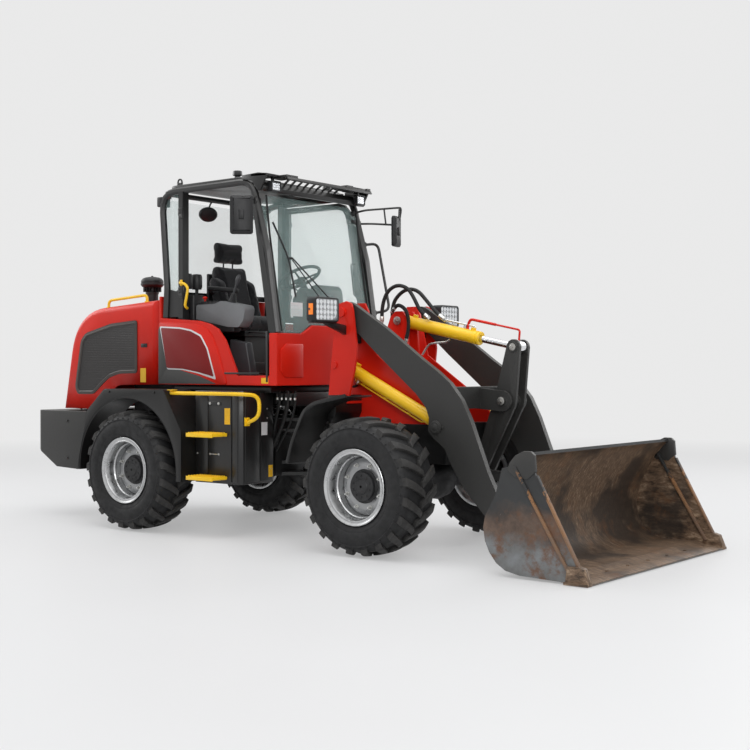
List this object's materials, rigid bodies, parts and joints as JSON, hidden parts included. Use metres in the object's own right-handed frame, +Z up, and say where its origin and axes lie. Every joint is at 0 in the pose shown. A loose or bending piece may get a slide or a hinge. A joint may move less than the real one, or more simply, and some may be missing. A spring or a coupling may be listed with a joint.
{
  "type": "wheel loader",
  "caption": "Articulated wheel loader with a tube-framed cab, Z-bar lift arm and bucket, steps, fenders and four treaded tyres.",
  "frame": {"origin": "ground level under the middle of the length, at the middle of the width", "axes": "+X forward to the bucket, +Y to the operator's left, +Z up"},
  "size_m": [6.295, 2.215, 3.108],
  "materials": {
    "red_paint": "gloss red paint",
    "grey_paint": "satin dark grey paint",
    "black_paint": "satin black paint",
    "yellow_paint": "gloss yellow paint",
    "silver_paint": "satin silver paint",
    "cast_iron": "black painted casting",
    "chrome": "hard chrome",
    "worn_steel": "steel with worn paint and light rust",
    "glass": "light green tinted",
    "tyre": "black rubber",
    "upholstery": "black seat cover",
    "cab_plastic": "grained grey plastic"
  },
  "bodies": {
    "rear_chassis": {"rear_frame": "black_paint", "counterweight": "grey_paint", "engine_block": "cast_iron", "rear_axle": "cast_iron", "rear_fender_left": "grey_paint", "rear_fender_right": "grey_paint", "side_box_left": "black_paint", "side_box_right": "black_paint", "steps_left": "yellow_paint", "steps_right": "yellow_paint", "deck_rail_left": "yellow_paint", "deck_rail_right": "yellow_paint", "cab_body": "red_paint", "cab_frame": "black_paint", "cab_roof": "black_paint", "windshield": "glass", "rear_window": "glass", "quarter_window_left": "glass", "quarter_window_right": "glass", "seat_base": "black_paint", "seat_cushion": "upholstery", "seat_backrest": "upholstery", "side_console": "cab_plastic", "dashboard": "cab_plastic", "mirror_left": "black_paint", "mirror_right": "black_paint", "door_handrail_left": "black_paint"},
    "hood": {"hood": "red_paint", "hood_rail_left": "yellow_paint", "hood_rail_right": "yellow_paint", "air_precleaner": "cab_plastic"},
    "left_door": {"left_door": "black_paint", "left_door_glass": "glass"},
    "front_chassis": {"front_tower": "red_paint", "front_subframe": "black_paint", "front_axle": "cast_iron", "front_fender_left": "grey_paint", "front_fender_right": "grey_paint", "headlight_left": "black_paint", "headlight_right": "black_paint"},
    "lift_arm": {"lift_arm": "grey_paint"},
    "bell_crank": {"bell_crank": "grey_paint"},
    "bucket_link": {"bucket_link": "grey_paint"},
    "bucket": {"bucket": "worn_steel"},
    "lift_barrel_left": {"lift_cylinder_barrel_left": "yellow_paint"},
    "lift_barrel_right": {"lift_cylinder_barrel_right": "yellow_paint"},
    "lift_rod_left": {"lift_cylinder_rod_left": "chrome"},
    "lift_rod_right": {"lift_cylinder_rod_right": "chrome"},
    "tilt_barrel": {"tilt_cylinder_barrel": "yellow_paint"},
    "tilt_piston": {"tilt_cylinder_piston": "cast_iron"},
    "tilt_rod": {"tilt_cylinder_rod": "chrome"},
    "wheel_front_left": {"tyre_front_left": "tyre", "rim_front_left": "silver_paint"},
    "wheel_front_right": {"tyre_front_right": "tyre", "rim_front_right": "silver_paint"},
    "wheel_rear_left": {"tyre_rear_left": "tyre", "rim_rear_left": "silver_paint"},
    "wheel_rear_right": {"tyre_rear_right": "tyre", "rim_rear_right": "silver_paint"}
  },
  "joints": [
    {"name": "steer", "type": "hinge", "parent": "rear_chassis", "child": "front_chassis", "pos_m": [-0.2225, 0, 0.755], "axis": [0, 0, 1], "range_deg": [-35, 35]},
    {"name": "hood_hinge", "type": "hinge", "parent": "rear_chassis", "child": "hood", "pos_m": [-1.4795, 0, 2.069], "axis": [0, 1, 0], "range_deg": [0, 50]},
    {"name": "left_door_hinge", "type": "hinge", "parent": "rear_chassis", "child": "left_door", "pos_m": [-1.1635, 0.707, 2.1], "axis": [0, 0, 1], "range_deg": [0, 90]},
    {"name": "lift", "type": "hinge", "parent": "front_chassis", "child": "lift_arm", "pos_m": [0.5775, 0, 1.905], "axis": [0, -1, 0], "range_deg": [0, 85]},
    {"name": "bucket_tilt", "type": "hinge", "parent": "lift_arm", "child": "bucket", "pos_m": [2.2175, 0, 0.3], "axis": [0, 1, 0], "range_deg": [-45, 128]},
    {"name": "bell_crank_turn", "type": "hinge", "parent": "lift_arm", "child": "bell_crank", "pos_m": [1.8375, 0, 1.19], "axis": [0, -1, 0], "range_deg": [-9.5, 26.5]},
    {"name": "bucket_link_turn", "type": "hinge", "parent": "bell_crank", "child": "bucket_link", "pos_m": [1.5775, 0, 0.6], "axis": [0, -1, 0], "range_deg": [-38.5, 14]},
    {"name": "lift_cylinder_swing_left", "type": "hinge", "parent": "front_chassis", "child": "lift_barrel_left", "pos_m": [0.4975, 0.425, 1.475], "axis": [0, -1, 0], "range_deg": [0, 77]},
    {"name": "lift_cylinder_stroke_left", "type": "slide", "parent": "lift_barrel_left", "child": "lift_rod_left", "axis": [0.8998, 0, -0.4364], "range_m": [0, 0.56]},
    {"name": "lift_cylinder_swing_right", "type": "hinge", "parent": "front_chassis", "child": "lift_barrel_right", "pos_m": [0.4975, -0.425, 1.475], "axis": [0, -1, 0], "range_deg": [0, 77]},
    {"name": "lift_cylinder_stroke_right", "type": "slide", "parent": "lift_barrel_right", "child": "lift_rod_right", "axis": [0.8998, 0, -0.4364], "range_m": [0, 0.56]},
    {"name": "tilt_cylinder_swing", "type": "hinge", "parent": "front_chassis", "child": "tilt_barrel", "pos_m": [0.7925, 0, 1.845], "axis": [0, -1, 0], "range_deg": [0, 95]},
    {"name": "tilt_piston_travel", "type": "slide", "parent": "tilt_barrel", "child": "tilt_piston", "axis": [0.9794, 0, -0.202], "range_m": [0, 0.24]},
    {"name": "tilt_cylinder_stroke", "type": "slide", "parent": "tilt_piston", "child": "tilt_rod", "axis": [0.9794, 0, -0.202], "range_m": [-0.19, 0.07]},
    {"name": "wheel_spin_front_left", "type": "hinge", "parent": "front_chassis", "child": "wheel_front_left", "pos_m": [1.0985, 0.869, 0.5375], "axis": [0, 1, 0], "continuous": true},
    {"name": "wheel_spin_front_right", "type": "hinge", "parent": "front_chassis", "child": "wheel_front_right", "pos_m": [1.0985, -0.869, 0.5375], "axis": [0, 1, 0], "continuous": true},
    {"name": "wheel_spin_rear_left", "type": "hinge", "parent": "rear_chassis", "child": "wheel_rear_left", "pos_m": [-1.5435, 0.869, 0.5375], "axis": [0, 1, 0], "continuous": true},
    {"name": "wheel_spin_rear_right", "type": "hinge", "parent": "rear_chassis", "child": "wheel_rear_right", "pos_m": [-1.5435, -0.869, 0.5375], "axis": [0, 1, 0], "continuous": true}
  ],
  "couplings": [
    {"joint": "bell_crank_turn", "follows": "bucket_tilt", "ratio": 0.2},
    {"joint": "bucket_link_turn", "follows": "bucket_tilt", "ratio": -0.295},
    {"joint": "lift_cylinder_swing_left", "follows": "lift", "ratio": 0.8899},
    {"joint": "lift_cylinder_stroke_left", "follows": "lift", "m_per_rad": 0.3693},
    {"joint": "lift_cylinder_swing_right", "follows": "lift", "ratio": 0.8899},
    {"joint": "lift_cylinder_stroke_right", "follows": "lift", "m_per_rad": 0.3693},
    {"joint": "tilt_cylinder_swing", "follows": "lift", "ratio": 1.1},
    {"joint": "tilt_piston_travel", "follows": "lift", "m_per_rad": 0.1574},
    {"joint": "tilt_cylinder_stroke", "follows": "bucket_tilt", "m_per_rad": -0.0836}
  ]
}
